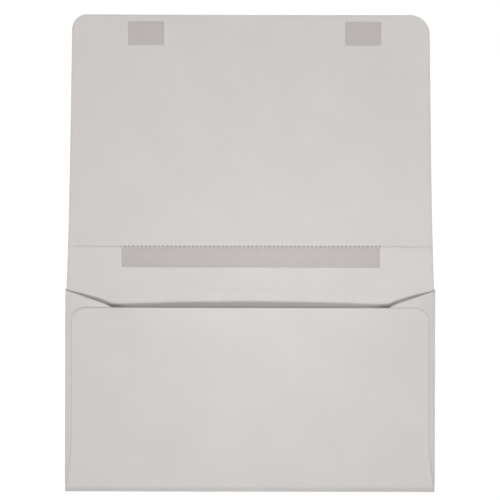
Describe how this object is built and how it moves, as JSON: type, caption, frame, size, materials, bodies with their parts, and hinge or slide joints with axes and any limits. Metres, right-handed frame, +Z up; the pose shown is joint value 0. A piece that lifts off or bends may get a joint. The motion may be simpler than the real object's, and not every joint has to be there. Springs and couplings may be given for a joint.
{
  "type": "cash deposit envelope",
  "caption": "Open paper deposit envelope with a folded pocket, a gummed seal flap and a perforated tear-off coupon.",
  "frame": {"origin": "middle of the open envelope's outline, on the surface that the back panel lies on", "axes": "+X across the pocket to the right, +Y from the bottom fold towards the coupon's free edge, +Z up from the back panel to the front panel"},
  "size_m": [0.1652, 0.2127, 0.006],
  "materials": {
    "envelope_paper": "matte",
    "dry_gum": "satin",
    "seam_glue": "satin"
  },
  "bodies": {
    "pocket": {"back_panel": "envelope_paper", "front_panel": "envelope_paper", "left_side_flap": "envelope_paper", "right_side_flap": "envelope_paper", "left_seam_glue": "seam_glue", "right_seam_glue": "seam_glue"},
    "seal_flap": {"seal_flap": "envelope_paper", "seal_gum_strip": "dry_gum"},
    "perforated_strip": {"perforated_strip": "envelope_paper"},
    "coupon": {"coupon": "envelope_paper", "left_gum_spot": "dry_gum", "right_gum_spot": "dry_gum"}
  },
  "joints": [
    {"name": "seal_flap_fold", "type": "hinge", "parent": "pocket", "child": "seal_flap", "pos_m": [0, -0.01595, 0.00343], "axis": [1, 0, 0], "range_deg": [0, 180]},
    {"name": "coupon_tear", "type": "slide", "parent": "pocket", "child": "perforated_strip", "axis": [0, 1, 0], "range_m": [0, 0.05]},
    {"name": "coupon_fold", "type": "hinge", "parent": "perforated_strip", "child": "coupon", "pos_m": [0, 0.00425, 0.00385], "axis": [-1, 0, 0], "range_deg": [-180, 0]}
  ]
}
